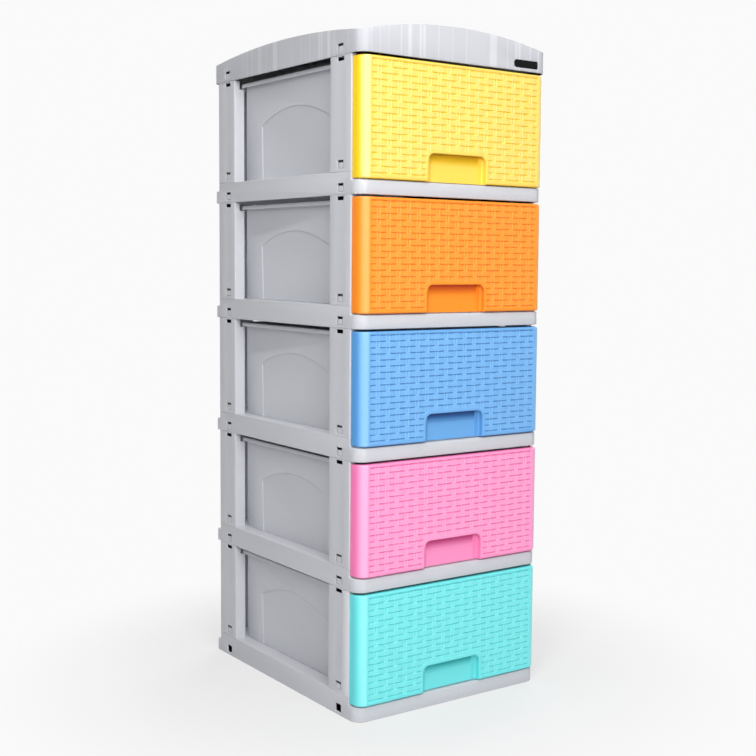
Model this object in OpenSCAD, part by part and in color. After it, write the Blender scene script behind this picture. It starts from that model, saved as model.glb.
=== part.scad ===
// Free-standing household tower with five drawers between stacked decks.
// Front faces -Y, X runs to the right, Z is up, and the base stands on Z = 0.
// Tiers are numbered from the bottom: tier 1 is the lowest drawer, tier 5 the highest.

/* [Frame] */
// Width across the outer faces of the posts
frame_w = 320; // [300:1:380]
// Depth from the front posts' front edge to the rear posts' rear edge
post_span = 371.5; // [340:0.5:440]
// Clear height between two decks
tier_h = 146.5; // [125:0.5:180]
// Clear height that the top tier has over the others
top_extra = 5; // [0:0.5:12]
// Gap between frame parts that plug into each other
fit_gap = 0.3; // [0.2:0.05:0.5]

/* [Deck] */
// Height of a middle deck's band
band_h = 30.5; // [29:0.5:40]
// Height of the base deck's band
base_band_h = 32; // [29:0.5:45]
// Wall of the band
band_t = 2.4; // [2:0.1:2.8]
// Thickness of the deck's top plate
plate_t = 2.4; // [1.8:0.1:3.5]
// Reach of the deck's nose in front of the posts
nose_d = 20.5; // [19:0.5:26]
// Drop from the deck's top to the ledge on its nose
nose_drop = 11.5; // [11:0.5:14]
// Front corner radius of the nose
nose_r = 17; // [8:0.5:19]
// Reach of the lip behind the rear posts
lip_d = 10; // [6:0.5:16]
// Height of the rear lip
lip_h = 18.5; // [12:0.5:24]
// Corner radius of the rear lip
lip_r = 3; // [1:0.5:5]
// Thickness of the ribs under the plate
rib_t = 1.8; // [1.2:0.1:3]
// Depth of the ribs under the plate
rib_h = 9; // [5:0.5:14]
// Step from the tub's plate back to the raised neck of the deck
neck_gap = 1; // [0.6:0.1:1.5]

/* [Posts] */
// Width of a post, front to back
post_w = 51; // [48:0.5:64]
// Depth of a post, side to side
post_t = 17; // [16.5:0.5:18]
// Wall of a post
post_wall = 2; // [1.6:0.1:2.2]
// Depth of the notch that the drawer's rim runs in
notch_d = 7.8; // [7.4:0.1:8]
// Height of the notch
notch_h = 12.5; // [12:0.5:16]
// Width of the slot near a post's top
slot_w = 16.5; // [8:0.5:24]
// Height of the slot near a post's top
slot_h = 5.3; // [3:0.1:6]
// Material above that slot
slot_cap = 1.7; // [1.2:0.1:2.5]
// Rear windows stand this far forward of their post's middle
window_shift = 4.3; // [0:0.1:6]
// Reach of a rear post's flange behind the drawer
flange_d = 42; // [36:1:60]
// Thickness of that flange
flange_t = 2; // [1.4:0.1:3]

/* [Snap joints] */
// Width of the tongue on top of a post
tongue_w = 41; // [34:0.5:44]
// Thickness of the tongue
tongue_t = 5.6; // [4:0.1:5.8]
// Height of the tongue
tongue_h = 17; // [16:0.5:22]
// Wall of the sockets that take the tongues
socket_t = 1.8; // [1.2:0.1:2.4]
// Height of the boss that a post stands over
boss_h = 17; // [16:0.5:24]
// Wall of the boss
boss_t = 2; // [1.4:0.1:2.6]
// Width of a snap window
window_w = 14.5; // [13:0.5:20]
// Height of a snap window
window_h = 11; // [9.5:0.5:11.5]
// Height of a window's sill above the joint
window_z = 4.5; // [3:0.1:5]
// Width of the lug that shows in a window
lug_w = 11; // [6:0.5:12]
// Height of that lug
lug_h = 7.4; // [5:0.1:8]
// How far a lug's face stays inside the outer face
lug_inset = 0.4; // [0:0.1:1]
// Height of a socket's lower edge over the joint
socket_z = 1; // [0.5:0.5:3]

/* [Lid] */
// Height of the lid's skirt at the corners
skirt_h = 28; // [24:0.5:40]
// Rise of the lid's front edge at its middle
front_rise = 19; // [8:0.5:30]
// Rise of the lid's side edge at its middle
side_rise = 12.5; // [5:0.5:20]
// Wall of the lid
lid_t = 2.4; // [2:0.1:2.8]
// Overhang of the lid over each side of the frame
lid_over = 0.8; // [0:0.1:2]
// Corner radius at the lid's front
lid_r = 16; // [8:0.5:19]
// Corner radius at the lid's rear
lid_rear_r = 5; // [2:0.5:8]
// Height of the sockets inside the lid
lid_socket_h = 19; // [18:0.5:22]
// Width of the blank badge
badge_w = 44; // [20:1:60]
// Height of the blank badge
badge_h = 11; // [6:0.5:14]
// Thickness of the blank badge, which lies flush in the lid
badge_t = 0.8; // [0.6:0.1:1.2]
// Distance of the badge from the lid's side
badge_side = 19; // [18:0.5:40]
// Height of the badge over the lid's lower edge
badge_up = 4.5; // [3:0.5:8]
// Gap between the badge and the edge of its recess
badge_gap = 0.1; // [0.05:0.05:0.2]

/* [Drawer tub] */
// Gap between the tub's floor and the deck
run_gap = 0.3; // [0.25:0.05:0.8]
// Gap between the tub's top and the deck above
head_gap = 5.4; // [4.5:0.1:6]
// Gap between the tub's wall and the posts
side_gap = 1; // [0.6:0.1:2]
// Wall of the tub
tub_t = 1.8; // [1.4:0.1:2.4]
// Lean of the side wall from rim to floor
tub_draft = 3.5; // [1:0.1:5]
// Distance from the tub's rear wall to the rear posts' rear edge
tub_back = 41.5; // [30:0.5:60]
// Outer radius of the tub's rear corners
tub_r = 20; // [10:0.5:28]
// Reach of the rim outside the wall
rim_d = 7.5; // [6:0.1:7.8]
// Height of the rim
rim_h = 5.8; // [4:0.1:6.4]
// Thickness of the rim
rim_t = 1.6; // [1.2:0.1:2.2]
// Half length of the sunk panel in the tub's side
panel_half = 95; // [60:1:110]
// Height of the sunk panel at its ends
panel_spring = 80; // [40:1:90]
// Rise of the sunk panel's arched top
panel_rise = 22; // [10:0.5:24]
// Depth of the sunk panel
panel_sink = 0.8; // [0.4:0.1:0.9]
// Distance of the panel's middle in front of the middle between the posts
panel_shift = 9; // [0:1:20]
// Depth in the wide plate that carries the coloured front
face_t = 2; // [1.6:0.1:2.6]

/* [Drawer front] */
// Reach of the coloured front past the deck's nose
front_proud = 3; // [1:0.5:5]
// Distance of the front's edges inside the posts' outer faces
front_inset = 2; // [1:0.1:3]
// Wall of the front
front_t = 2.2; // [1.8:0.1:2.6]
// Corner radius of the front
front_r = 15; // [8:0.5:19]
// Gap between the front and the deck above it
front_head = 3; // [2:0.1:4.5]
// Overlap of the front over the deck below it
front_drop = 10; // [8:0.1:10.4]
// Gap between the front's wings and the posts
wing_gap = 0.5; // [0.4:0.1:1.2]
// Depth from the front's face to the tub's plate
front_d = 11; // [10:0.1:12]
// Width of the hand pull
pull_w = 100; // [80:1:140]
// Height of the hand pull
pull_h = 38; // [28:0.5:46]
// Corner radius of the hand pull
pull_r = 10; // [5:0.5:14]
// Wall of the hand pull's pocket
pull_t = 2; // [1.4:0.1:2.4]
// Height of the finger space behind the pull's upper edge
pull_under = 9; // [4:0.5:14]

/* [Hidden] */
$fn = 64;
tiers = 5;
// Reach of a cut past the face that it opens
eps = 1;
// Overlap of two parts of one moulding
bite = 0.5;
// Angle of the arc that the lid's dome is swept along
dome_sweep = 30;
grey = [0.76, 0.77, 0.79];

// Planes along Y
depth = front_proud + nose_d + post_span + lip_d;
front_y = -depth / 2;
nose_y = front_y + front_proud;
post_y0 = nose_y + nose_d;
post_y1 = post_y0 + post_span;
lip_y = post_y1 + lip_d;
face_y = front_y + front_d;
neck_y = face_y + neck_gap;
tub_y1 = post_y1 - tub_back;
mid_y = (post_y0 + post_y1) / 2;
panel_y = mid_y - panel_shift;
half_w = frame_w / 2;
fy = post_y0 + post_w / 2;
ry = post_y1 - post_w / 2;

// Planes across X, measured on the positive side
post_in = half_w - post_t;
notch_x = half_w - post_t + notch_d;
tongue_x1 = half_w - band_t - fit_gap;
tongue_x0 = tongue_x1 - tongue_t;
tub_x = post_in - side_gap;
rim_x = tub_x + rim_d;
wing_x = half_w - front_inset;
wing_in = wing_x - front_t;
face_x = wing_in - fit_gap;
neck_x = face_x - neck_gap;
lid_x = half_w + lid_over;

// Levels
function clear(k) = tier_h + (k == tiers ? top_extra : 0);
function deck_top(k) = base_band_h + (k - 1) * (tier_h + band_h);
function deck_under(k) = deck_top(k) + clear(k);
lid_z = deck_under(tiers);
lid_h = skirt_h + front_rise + side_rise;

// Window middle along Y for a front or rear post
function win_y(rear) = rear ? ry - window_shift : fy;

// Flat outline from y0 to y1, as wide as 2 x, with front radius rf and rear radius rb
module outline(x, y0, y1, rf, rb) {
  intersection() {
    translate([-x, y0]) square([2 * x, y1 - y0]);
    union() {
      translate([-x, y0 + rf]) square([2 * x, y1 - rb - y0 - rf]);
      if (rf > 0) {
        translate([-x + rf, y0]) square([2 * (x - rf), rf + bite]);
        for (s = [-1, 1]) translate([s * (x - rf), y0 + rf]) circle(rf);
      }
      if (rb > 0) {
        translate([-x + rb, y1 - rb - bite]) square([2 * (x - rb), rb + bite]);
        for (s = [-1, 1]) translate([s * (x - rb), y1 - rb]) circle(rb);
      }
    }
  }
}

// Block from one corner to the other, mirrored to the side s
module bar(s, x0, x1, y0, y1, z0, z1) {
  translate([s > 0 ? x0 : -x1, y0, z0]) cube([x1 - x0, y1 - y0, z1 - z0]);
}

// Socket walls round a tongue, hanging inside the outer wall
module socket(s, yc, z0, z1, x1) {
  o = tongue_w / 2 + fit_gap;
  x0 = tongue_x0 - fit_gap - socket_t;
  bar(s, x0, tongue_x0 - fit_gap, yc - o - socket_t, yc + o + socket_t, z0, z1);
  bar(s, x0, x1, yc - o - socket_t, yc - o, z0, z1);
  bar(s, x0, x1, yc + o, yc + o + socket_t, z0, z1);
}

// Snap window through the outer wall, with its sill at z
module window(s, yc, z, t) {
  o = window_w / 2;
  bar(s, half_w - t - eps, lid_x + eps, yc - o, yc + o, z, z + window_h);
}

// Lug from the plane x0 out into the window above the joint at z
module lug(s, yc, x0, z) {
  o = lug_w / 2;
  sill = z + window_z + fit_gap;
  bar(s, x0 - bite, half_w - lug_inset, yc - o, yc + o, sill, sill + lug_h);
}

// Hollow boss on the deck that a post stands over
module boss(s, rear, z) {
  yc = rear ? ry : fy;
  o = post_w / 2 - post_wall - fit_gap;
  x0 = post_in + post_wall + fit_gap;
  x1 = half_w - post_wall - fit_gap;
  difference() {
    bar(s, x0, x1, yc - o, yc + o, z - bite, z + boss_h);
    bar(s, x0 + boss_t, x1 - boss_t, yc - o + boss_t, yc + o - boss_t, z + boss_t, z + boss_h + eps);
  }
  lug(s, win_y(rear), x1, z);
}

// Hollow tray, h high, with its nose in front, its lip behind and ribs below
module deck(h) {
  t = band_t;
  under = h - plate_t;
  ledge = h - nose_drop;
  lip_y0 = post_y1 - lip_d;
  rib_z = under - rib_h;
  difference() {
    union() {
      translate([-half_w, post_y0, 0]) cube([frame_w, post_span, h]);
      translate([-neck_x, neck_y, 0]) cube([2 * neck_x, post_y0 - neck_y + t, h]);
      linear_extrude(ledge) outline(half_w, nose_y, post_y0 + t, nose_r, 0);
      linear_extrude(lip_h) outline(half_w, lip_y0, lip_y, 0, lip_r);
    }
    translate([0, 0, -eps]) {
      translate([-half_w + t, post_y0 + t]) cube([frame_w - 2 * t, post_span - 2 * t, under + eps]);
      translate([-neck_x + t, neck_y + t]) cube([2 * (neck_x - t), post_y0 - neck_y + t, under + eps]);
      linear_extrude(ledge - plate_t + eps) outline(half_w - t, nose_y + t, post_y0 + 2 * t, nose_r - t, 0);
      linear_extrude(lip_h - t + eps) outline(half_w - t, lip_y0, lip_y - t, 0, lip_r - t);
    }
    for (s = [-1, 1], rear = [false, true]) window(s, win_y(rear), window_z, t);
  }
  for (s = [-1, 1], rear = [false, true]) {
    socket(s, rear ? ry : fy, socket_z, under + bite, half_w - t + bite);
    boss(s, rear, h);
  }
  for (i = [-1, 0, 1]) {
    translate([i * half_w / 2 - rib_t / 2, neck_y + t - bite, rib_z])
      cube([rib_t, post_y1 - neck_y - 2 * t + 2 * bite, rib_h + bite]);
    translate([-half_w + t - bite, mid_y + i * post_span / 5 - rib_t / 2, rib_z])
      cube([frame_w - 2 * t + 2 * bite, rib_t, rib_h + bite]);
  }
}

// Post of tier k on the side s, with its boss hollow below, its notch and its tongue above
module post(s, rear, k) {
  yc = rear ? ry : fy;
  y0 = yc - post_w / 2;
  y1 = yc + post_w / 2;
  h = clear(k);
  w = post_wall;
  shelf = h - notch_h;
  slot_y = win_y(rear) - slot_w / 2;
  slot_z = h - slot_cap;
  translate([0, 0, deck_top(k)]) {
    difference() {
      bar(s, post_in, half_w, y0, y1, 0, h);
      // Hollow over the boss, then the narrow head beside the notch
      bar(s, post_in + w, half_w - w, y0 + w, y1 - w, -eps, shelf - w);
      bar(s, notch_x + w, half_w - w, y0 + w, y1 - w, shelf - w - bite, slot_z);
      bar(s, post_in - eps, notch_x, y0 - eps, y1 + eps, shelf, h + eps);
      window(s, win_y(rear), window_z, w);
      bar(s, half_w - w - eps, half_w + eps, slot_y, slot_y + slot_w, slot_z - slot_h, slot_z);
    }
    bar(s, tongue_x0, tongue_x1, yc - tongue_w / 2, yc + tongue_w / 2, h - bite, h + tongue_h);
    lug(s, win_y(rear), tongue_x1, h);
    // Flange behind the drawer, along a rear post's rear edge
    if (rear) {
      bar(s, post_in - flange_d, post_in + bite, y1 - flange_t, y1, 0, shelf);
      bar(s, post_in - flange_d, notch_x + bite, y1 - flange_t, y1, shelf - bite, h);
    }
  }
}

// Shallow dome: an arch across X swept along a wide arc over Y
module dome(x, y, rise_x, rise_y, z) {
  arch_r = (x * x + rise_x * rise_x) / (2 * rise_x);
  sweep_r = (y * y + rise_y * rise_y) / (2 * rise_y);
  top = z + rise_x + rise_y;
  translate([0, 0, top - sweep_r]) rotate([0, -90, 0]) rotate([0, 0, -dome_sweep / 2])
    rotate_extrude(angle = dome_sweep, $fn = 720) intersection() {
      translate([sweep_r - arch_r, 0]) circle(arch_r, $fn = 360);
      translate([sweep_r - top, -x - eps]) square([top + eps, 2 * (x + eps)]);
    }
}

// Space under the lid's outline and dome, drawn in by t on every side
module lid_form(t) {
  intersection() {
    translate([0, 0, t > 0 ? -eps : 0]) linear_extrude(lid_h + 2 * eps)
      outline(lid_x - t, front_y + t, lip_y - t, lid_r - t, lid_rear_r - t);
    translate([0, 0, -t]) dome(lid_x, depth / 2, front_rise, side_rise, skirt_h);
  }
}

module lid() {
  color(grey) translate([0, 0, lid_z]) difference() {
    lid_form(0);
    difference() {
      lid_form(lid_t);
      for (s = [-1, 1], rear = [false, true]) socket(s, rear ? ry : fy, socket_z, lid_socket_h, lid_x);
    }
    for (s = [-1, 1], rear = [false, true]) window(s, win_y(rear), window_z, lid_t);
    translate([lid_x - badge_side - badge_w, front_y - eps, badge_up])
      cube([badge_w, badge_t + eps, badge_h]);
  }
}

module badge_plate() {
  g = badge_gap;
  color([0.1, 0.1, 0.11]) translate([lid_x - badge_side - badge_w + g, front_y, lid_z + badge_up + g])
    cube([badge_w - 2 * g, badge_t, badge_h - 2 * g]);
}

// Section of the tub across X from the level floor up, drawn in by t, with its walls leaning in
module tub_section(h, t, floor) {
  lean = tub_draft / h;
  low = tub_x - tub_draft + lean * floor - t;
  high = tub_x + lean * eps - t;
  polygon([[-low, floor], [low, floor], [high, h + eps], [-high, h + eps]]);
}

// Carries an outline drawn in X and Z along Y, from y0 to y1
module along_y(y0, y1) {
  translate([0, y1, 0]) rotate([90, 0, 0]) linear_extrude(y1 - y0) children();
}

module tub_outline(grow) {
  outline(tub_x + grow, face_y, tub_y1 + grow, 0, tub_r + grow);
}

// Arched outline of the sunk panel in Y and Z
module panel_arch() {
  r = (panel_half * panel_half + panel_rise * panel_rise) / (2 * panel_rise);
  top = panel_spring + panel_rise;
  intersection() {
    translate([panel_y, top - r]) circle(r, $fn = 180);
    translate([panel_y - panel_half, -eps]) square([2 * panel_half, top + 2 * eps]);
  }
}

module drawer_tub(k) {
  h = clear(k) - run_gap - head_gap;
  color([0.8, 0.81, 0.83]) translate([0, 0, deck_top(k) + run_gap]) difference() {
    union() {
      intersection() {
        linear_extrude(h) tub_outline(0);
        along_y(face_y, tub_y1) tub_section(h, 0, 0);
      }
      // Rim: a flat top with a turned-down edge
      translate([0, 0, h - rim_t]) linear_extrude(rim_t) tub_outline(rim_d);
      translate([0, 0, h - rim_h]) linear_extrude(rim_h) difference() {
        tub_outline(rim_d);
        tub_outline(rim_d - rim_t);
      }
      translate([-face_x, face_y, 0]) cube([2 * face_x, face_t, h]);
    }
    intersection() {
      translate([0, 0, tub_t]) linear_extrude(h)
        outline(tub_x - tub_t, face_y + face_t, tub_y1 - tub_t, 0, tub_r - tub_t);
      along_y(face_y, tub_y1) tub_section(h, tub_t, tub_t);
    }
    // Sunk panel in each side wall
    intersection() {
      along_y(panel_y - panel_half, panel_y + panel_half) difference() {
        translate([-half_w, -eps]) square([frame_w, panel_spring + panel_rise + 2 * eps]);
        tub_section(h, panel_sink, -2 * eps);
      }
      translate([-half_w, 0, 0]) rotate([90, 0, 90]) linear_extrude(frame_w) panel_arch();
    }
  }
}

// Outline of the hand pull in X and Z, open below
module pull_shape(grow, up) {
  w = pull_w / 2 + grow;
  r = pull_r + grow;
  top = up + grow;
  translate([-w, -eps]) square([2 * w, top - r + eps]);
  translate([-w + r, top - r - bite]) square([2 * (w - r), r + bite]);
  for (s = [-1, 1]) translate([s * (w - r), top - r]) circle(r);
}

module drawer_front(k, c) {
  h = clear(k) + front_drop - front_head;
  t = front_t;
  wing_y = post_y0 - wing_gap;
  color(c) translate([0, 0, deck_top(k) - front_drop]) {
    difference() {
      linear_extrude(h) outline(wing_x, front_y, wing_y, front_r, 0);
      translate([0, 0, t]) linear_extrude(h - 2 * t)
        outline(wing_in, front_y + t, wing_y + eps, front_r - t, 0);
      translate([-wing_in, face_y, -eps]) cube([2 * wing_in, wing_y - face_y + eps, h + 2 * eps]);
      along_y(front_y - eps, front_y + t + bite) pull_shape(0, pull_h);
      translate([-pull_w / 2, front_y + t, -eps]) cube([pull_w, front_d, t + 2 * eps]);
    }
    // Pocket behind the pull, taller than its mouth
    difference() {
      intersection() {
        along_y(front_y + t - bite, face_y) pull_shape(pull_t, pull_h + pull_under);
        translate([-half_w, front_y, 0]) cube([frame_w, front_d, h]);
      }
      along_y(front_y + t, face_y - pull_t) pull_shape(0, pull_h + pull_under);
      along_y(front_y - eps, front_y + t + bite) pull_shape(0, pull_h);
    }
  }
}

module base_deck() { color(grey) deck(base_band_h); }
module middle_deck(k) { color(grey) translate([0, 0, deck_under(k)]) deck(band_h); }
module middle_deck_1() { middle_deck(1); }
module middle_deck_2() { middle_deck(2); }
module middle_deck_3() { middle_deck(3); }
module middle_deck_4() { middle_deck(4); }
module post_front_left_1() { color(grey) post(-1, false, 1); }
module post_front_left_2() { color(grey) post(-1, false, 2); }
module post_front_left_3() { color(grey) post(-1, false, 3); }
module post_front_left_4() { color(grey) post(-1, false, 4); }
module post_front_left_5() { color(grey) post(-1, false, 5); }
module post_front_right_1() { color(grey) post(1, false, 1); }
module post_front_right_2() { color(grey) post(1, false, 2); }
module post_front_right_3() { color(grey) post(1, false, 3); }
module post_front_right_4() { color(grey) post(1, false, 4); }
module post_front_right_5() { color(grey) post(1, false, 5); }
module post_rear_left_1() { color(grey) post(-1, true, 1); }
module post_rear_left_2() { color(grey) post(-1, true, 2); }
module post_rear_left_3() { color(grey) post(-1, true, 3); }
module post_rear_left_4() { color(grey) post(-1, true, 4); }
module post_rear_left_5() { color(grey) post(-1, true, 5); }
module post_rear_right_1() { color(grey) post(1, true, 1); }
module post_rear_right_2() { color(grey) post(1, true, 2); }
module post_rear_right_3() { color(grey) post(1, true, 3); }
module post_rear_right_4() { color(grey) post(1, true, 4); }
module post_rear_right_5() { color(grey) post(1, true, 5); }
module drawer_tub_1() { drawer_tub(1); }
module drawer_tub_2() { drawer_tub(2); }
module drawer_tub_3() { drawer_tub(3); }
module drawer_tub_4() { drawer_tub(4); }
module drawer_tub_5() { drawer_tub(5); }
module drawer_front_1() { drawer_front(1, [0.44, 0.93, 0.9]); }
module drawer_front_2() { drawer_front(2, [1, 0.61, 0.8]); }
module drawer_front_3() { drawer_front(3, [0.5, 0.72, 0.96]); }
module drawer_front_4() { drawer_front(4, [1, 0.65, 0.3]); }
module drawer_front_5() { drawer_front(5, [1, 0.89, 0.3]); }

base_deck();
middle_deck_1();
middle_deck_2();
middle_deck_3();
middle_deck_4();
post_front_left_1();
post_front_left_2();
post_front_left_3();
post_front_left_4();
post_front_left_5();
post_front_right_1();
post_front_right_2();
post_front_right_3();
post_front_right_4();
post_front_right_5();
post_rear_left_1();
post_rear_left_2();
post_rear_left_3();
post_rear_left_4();
post_rear_left_5();
post_rear_right_1();
post_rear_right_2();
post_rear_right_3();
post_rear_right_4();
post_rear_right_5();
lid();
badge_plate();
drawer_tub_1();
drawer_tub_2();
drawer_tub_3();
drawer_tub_4();
drawer_tub_5();
drawer_front_1();
drawer_front_2();
drawer_front_3();
drawer_front_4();
drawer_front_5();
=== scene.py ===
import math
import bmesh
import bpy
import numpy as np
from mathutils import Matrix, Vector


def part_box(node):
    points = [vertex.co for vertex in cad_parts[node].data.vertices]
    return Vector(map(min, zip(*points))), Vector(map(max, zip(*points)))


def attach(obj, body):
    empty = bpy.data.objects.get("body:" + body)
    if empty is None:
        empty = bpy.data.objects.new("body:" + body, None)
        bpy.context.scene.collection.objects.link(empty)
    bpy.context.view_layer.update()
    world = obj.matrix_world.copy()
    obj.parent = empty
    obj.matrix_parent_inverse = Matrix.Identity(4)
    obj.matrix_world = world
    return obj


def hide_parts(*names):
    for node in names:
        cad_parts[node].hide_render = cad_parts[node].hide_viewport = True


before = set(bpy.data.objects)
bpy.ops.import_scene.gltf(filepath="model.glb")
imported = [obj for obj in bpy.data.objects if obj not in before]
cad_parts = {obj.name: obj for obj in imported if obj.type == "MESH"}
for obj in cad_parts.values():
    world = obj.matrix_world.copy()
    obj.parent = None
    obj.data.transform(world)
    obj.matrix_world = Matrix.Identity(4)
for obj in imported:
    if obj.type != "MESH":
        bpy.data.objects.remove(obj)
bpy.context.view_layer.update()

# Lengths in the dictionaries are millimetres where no note says otherwise, and go into the meshes as metres.
scene = bpy.context.scene
inMetres, inMillimetres, squareMillimetres = 0.001, 1000, 1e6
quarterTurn = math.pi / 2
tiers = (1, 2, 3, 4, 5)
posts = [f"post_{end}_{side}_{k}" for end in ("front", "rear") for side in ("left", "right") for k in tiers]
decks = ["base_deck"] + [f"middle_deck_{k}" for k in (1, 2, 3, 4)]


camera = dict(
    place=(-1.06228, -1.55474, 0.62203),   # metres
    yaw=36.04, pitch=-4.98, roll=0.53,     # degrees, yaw from +Y towards +X
    focal=1243.47, centre=(410.0, 370.1),  # pixels of a square view
    view=756, sensor=36,                   # the view's side in pixels, the sensor's width
    near=0.02, far=60,                     # metres
)


def addCamera(plan):
    # forward from yaw and pitch, right = forward x up, then both turned about forward by the roll
    yaw, pitch, roll = (math.radians(plan[a]) for a in ("yaw", "pitch", "roll"))
    forward = Vector((math.sin(yaw) * math.cos(pitch), math.cos(yaw) * math.cos(pitch), math.sin(pitch)))
    right = forward.cross(Vector((0, 0, 1))).normalized()
    up = right.cross(forward)
    rolledRight = math.cos(roll) * right + math.sin(roll) * up
    rolledUp = -math.sin(roll) * right + math.cos(roll) * up
    view, centre = plan["view"], plan["centre"]
    data = bpy.data.cameras.new("camera")
    data.sensor_width = plan["sensor"]
    data.lens = plan["focal"] / view * plan["sensor"]
    data.shift_x = (view / 2 - centre[0]) / view
    data.shift_y = (centre[1] - view / 2) / view
    data.clip_start, data.clip_end = plan["near"], plan["far"]
    rig = bpy.data.objects.new("camera", data)
    turn = Matrix((rolledRight, rolledUp, -forward)).transposed().to_4x4()
    rig.matrix_world = Matrix.Translation(plan["place"]) @ turn
    scene.collection.objects.link(rig)
    scene.camera = rig


addCamera(camera)
print("camera placed")


def nodeBox(node):
    # a solid's lowest and highest corners in millimetres
    return (np.array(corner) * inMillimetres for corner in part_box(node))


def meshPiece(name, points, faces, body, replaced):
    # points is an n x 3 array in millimetres, faces a list of vertex number lists
    mesh = bpy.data.meshes.new(name)
    mesh.from_pydata((np.asarray(points) * inMetres).tolist(), [], faces)
    work = bmesh.new()
    work.from_mesh(mesh)
    bmesh.ops.recalc_face_normals(work, faces=work.faces)
    work.to_mesh(mesh)
    work.free()
    piece = bpy.data.objects.new(name, mesh)
    scene.collection.objects.link(piece)
    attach(piece, body)
    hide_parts(replaced)
    return piece


def smooth(mesh, sharpFrom=None):
    # smooth shading, apart from edges that turn by more than sharpFrom degrees
    mesh.polygons.foreach_set("use_smooth", [True] * len(mesh.polygons))
    if sharpFrom:
        mesh.set_sharp_from_angle(angle=math.radians(sharpFrom))


def setMask(mesh, label, domain, values):
    # a number from 0 to 1 on every point, edge or corner, for the materials or modifiers to read
    mesh.attributes.new(label, "FLOAT", domain).data.foreach_set("value", values.astype(np.float32))


def gridFaces(rows, columns):
    # one quad for each cell of a rows x columns grid of points
    n = np.arange(rows * columns).reshape(rows, columns)
    return np.stack([n[:-1, :-1], n[:-1, 1:], n[1:, 1:], n[1:, :-1]], -1).reshape(-1, 4)


def bandFaces(a, b):
    # quads between two rows of vertex numbers
    return np.stack([a[:-1], a[1:], b[1:], b[:-1]], 1).tolist()


def ramp(value, low, high):
    # smooth step from 0 at low to 1 at high
    t = np.clip((value - low) / (high - low), 0, 1)
    return t * t * (3 - 2 * t)


drawerFront = dict(
    # radii of the rounded corners, lower edge and upper edge, wall, and the plane that the back keeps ahead of
    corner=15, bottomEdge=2.6, topEdge=2.0, wall=2.2, backY=-191.5,
    # steps round each corner, along each wing and round each edge, least gaps between stations and between levels
    cornerSteps=14, wingSteps=5, edgeSteps=5, stationGap=0.6, levelGap=0.4,
    # spacing of the upright stakes, how many are laid out each way, half width of the weave, width of its border
    stake=16.3, stakes=9, weaveHalf=142.6, border=0.9,
    # slots from top to bottom, first and last from the edges, where the weave fades in beyond them
    rows=18, firstRow=5.0, lastRow=7.4, fadeOuter=1.6, fadeInner=1.0,
    # grid lines for each stake and row, and how far they crowd together at the slots, from 0 to 1
    columnsPerStake=14, linesPerRow=12, crowd=0.42,
    # how deep a band dips, how round its canes are and how many, what the weave is set in by, and its limit
    sway=0.8, cane=0.3, canes=3, level=0.12, deepest=1.2,
    # the strands of a stake: distance from its middle, half width, depth, roundness, the mark between them
    strandApart=2.3, strandHalf=0.8, strandDepth=0.12, strandRound=0.5, strandMark=0.14, markHalf=0.9,
    # half length, half height and depth of a slot, its soft ends and sides, how much a strand bridges it
    slotHalf=12.9, slotHigh=0.8, slotDepth=0.7, slotEnd=0.7, slotSide=0.35, bridged=0.92,
    # the hand pull: half width, height, corner, rounded lip, and the plain margin round it with its soft edge
    pullHalf=50, pullHigh=38, pullCorner=10, pullEdge=1.2, pullMargin=4.2, marginSoft=0.5,
    # its pocket: depth, lip's depth past its radius, depth of the step up and its height, radius at the back
    pullDepth=9, lipPast=0.4, stepDepth=2.8, stepUp=9, pocketEdge=3, lipSteps=5, pocketSteps=6,
    # its rim's points are put in order by their angle from this far below the front, and those that lie higher than
    # the centres of the round corners by this much take part in the step up
    orderFrom=30, topSlack=0.01,
    # rings on its back wall: distance in from the outline, share of the height lost, painted shade
    pocketBack=((4, 0, 1), (5.5, 0.03, 1), (7, 0.08, 1), (8, 0.17, 0.8), (8.6, 0.27, 0.35), (9, 0.4, 0)),
    # a station faces the front when its normal points there by more than this; degrees past which an edge is sharp
    facingFront=0.99, sharpFrom=62,
)
frontTints = dict(
    # shares of the deep tint, painted shade: in the slots, under the lower edge, where the pocket steps up, at its
    # sides
    slot=0.36, under=0.5, step=0.3, pocketSide=0.12,
    # shares of the pale tint, a painted highlight: on a strand, what it gains where the band dips behind it, on the
    # canes, and at the bend of the corners, with the turns over which it comes and goes and the insets over which it
    # goes
    strand=0.16, strandOver=0.32, cane=0.25, bend=0.5, bendFrom=(0.3, 0.9), bendTo=(0.97, 1.0), bendInset=(0.4, 1.6),
    # the face's tint, a painted sheen where it looks to the front: the turns over which it comes, the insets over
    # which it goes, its loss in a slot, its share in the pocket
    faceFrom=(0.25, 0.9), faceInset=(0.2, 0.9), slotLoss=0.85, pocketFace=0.7,
)
frontColours = {1: "aqua", 2: "pink", 3: "blue", 4: "orange", 5: "yellow"}


def pullOffset(x, z, plan):
    # how far out and up a point lies from the centre of the pull's rounded corner on its side
    return np.abs(x) - (plan["pullHalf"] - plan["pullCorner"]), z - (plan["pullHigh"] - plan["pullCorner"])


def pullDistance(x, z, plan):
    # distance from the outline of the hand pull, a rounded rectangle open below, negative inside
    out, up = pullOffset(x, z, plan)
    outside = np.hypot(np.maximum(out, 0), np.maximum(up, 0))
    return outside + np.minimum(np.maximum(out, up), 0) - plan["pullCorner"]


def pullNormal(x, z, plan):
    # away from the pull: sideways at its sides, up at its top, along the radius at its corners
    out, up = pullOffset(x, z, plan)
    radius = np.maximum(np.hypot(out, up), 1e-6)
    nx = np.where(up <= 0, 1.0, np.where(out <= 0, 0.0, out / radius)) * np.sign(x)
    nz = np.where(up <= 0, 0.0, np.where(out <= 0, 1.0, up / radius))
    return nx, nz


def rowPitch(height, plan):
    # height from one row of slots to the next
    return (height - plan["firstRow"] - plan["lastRow"]) / (plan["rows"] - 1)


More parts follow.
